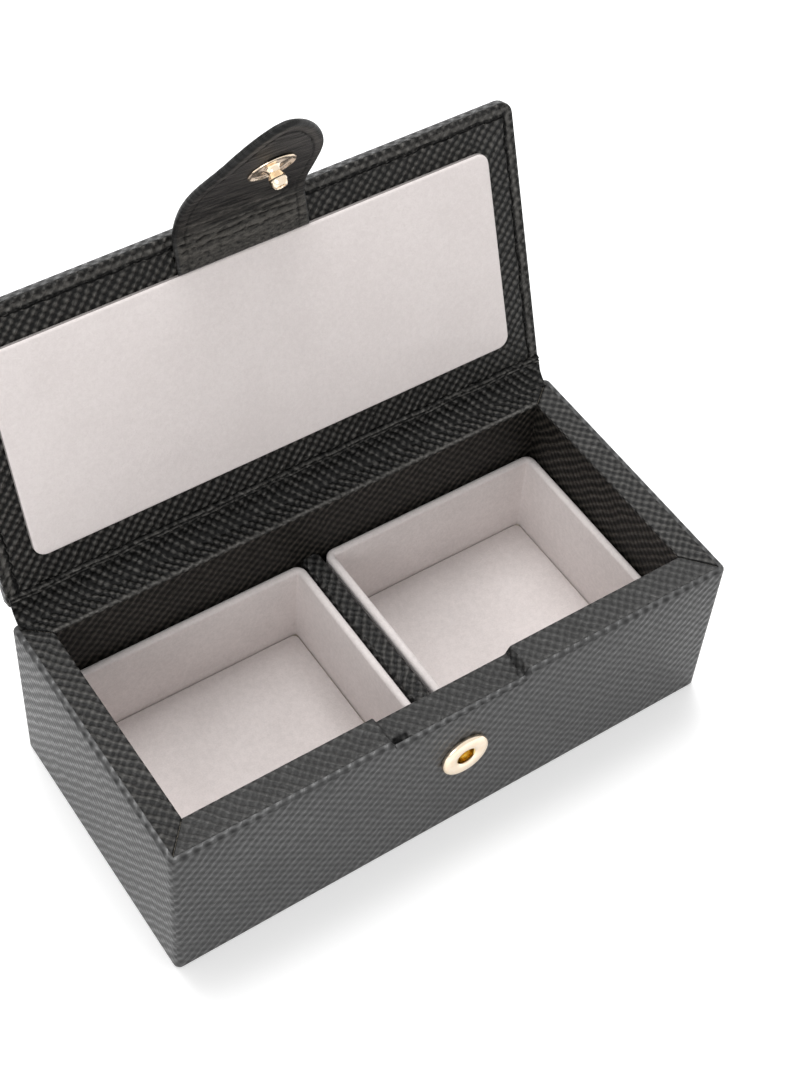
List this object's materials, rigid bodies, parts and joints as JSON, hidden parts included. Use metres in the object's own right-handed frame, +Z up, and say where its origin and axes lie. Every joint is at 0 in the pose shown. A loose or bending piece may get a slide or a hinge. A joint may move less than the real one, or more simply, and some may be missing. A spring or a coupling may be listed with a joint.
{
  "type": "cufflink box",
  "caption": "Black grained-leather cufflink box with a flap lid on a leather hinge, a press-stud tab and pale suede trays that lift out",
  "frame": {"origin": "centre of the base, on the surface that the box stands on", "axes": "+X to the right along the front, +Y from the front to the hinge, +Z up"},
  "size_m": [0.145, 0.0985, 0.1466],
  "materials": {
    "grained_leather": "cross-grain, satin",
    "lining_leather": "fine grain, satin",
    "suede": "short nap, matt",
    "gilt_metal": "polished",
    "board": "plain"
  },
  "bodies": {
    "base": {"base_cover": "grained_leather", "base_board": "board", "board_front": "board", "board_back": "board", "board_left": "board", "board_right": "board", "outer_wrap": "grained_leather", "rim_strip_front": "grained_leather", "rim_strip_back": "grained_leather", "rim_strip_left": "grained_leather", "rim_strip_right": "grained_leather", "well_floor_lining": "lining_leather", "well_wall_lining": "lining_leather", "divider_board": "board", "divider_cover": "grained_leather", "snap_socket": "gilt_metal", "snap_socket_rivet": "gilt_metal", "snap_spring": "gilt_metal", "hinge_spine": "grained_leather", "hinge_gusset": "grained_leather"},
    "lid": {"lid_board": "board", "lid_cover": "grained_leather", "lid_border": "grained_leather", "lid_panel_card": "board", "lid_lining": "suede", "tab_root": "grained_leather", "tab_fold": "grained_leather"},
    "tab": {"tab_outer_leather": "grained_leather", "tab_stiffener": "board", "tab_inner_leather": "grained_leather", "snap_stud": "gilt_metal", "snap_stud_rivet": "gilt_metal"},
    "tray_left": {"tray_left_core": "board", "tray_left_cover": "suede", "tray_left_pad": "suede"},
    "tray_right": {"tray_right_core": "board", "tray_right_cover": "suede", "tray_right_pad": "suede"}
  },
  "joints": [
    {"name": "lid_hinge", "type": "hinge", "parent": "base", "child": "lid", "pos_m": [0, 0.0367, 0.0462], "axis": [1, 0, 0], "range_deg": [0, 109], "deforming": ["hinge_spine", "hinge_gusset"]},
    {"name": "tab_bend", "type": "hinge", "parent": "lid", "child": "tab", "pos_m": [-0.0005, 0.05707, 0.11734], "axis": [0.9889, -0.1055, -0.1047], "range_deg": [-15, 44.85], "stiffness_Nm_per_rad": 0.02, "deforming": ["tab_fold"]},
    {"name": "tray_left_lift", "type": "slide", "parent": "base", "child": "tray_left", "axis": [0, 0, 1], "range_m": [0, 0.014]},
    {"name": "tray_right_lift", "type": "slide", "parent": "base", "child": "tray_right", "axis": [0, 0, 1], "range_m": [0, 0.014]}
  ]
}
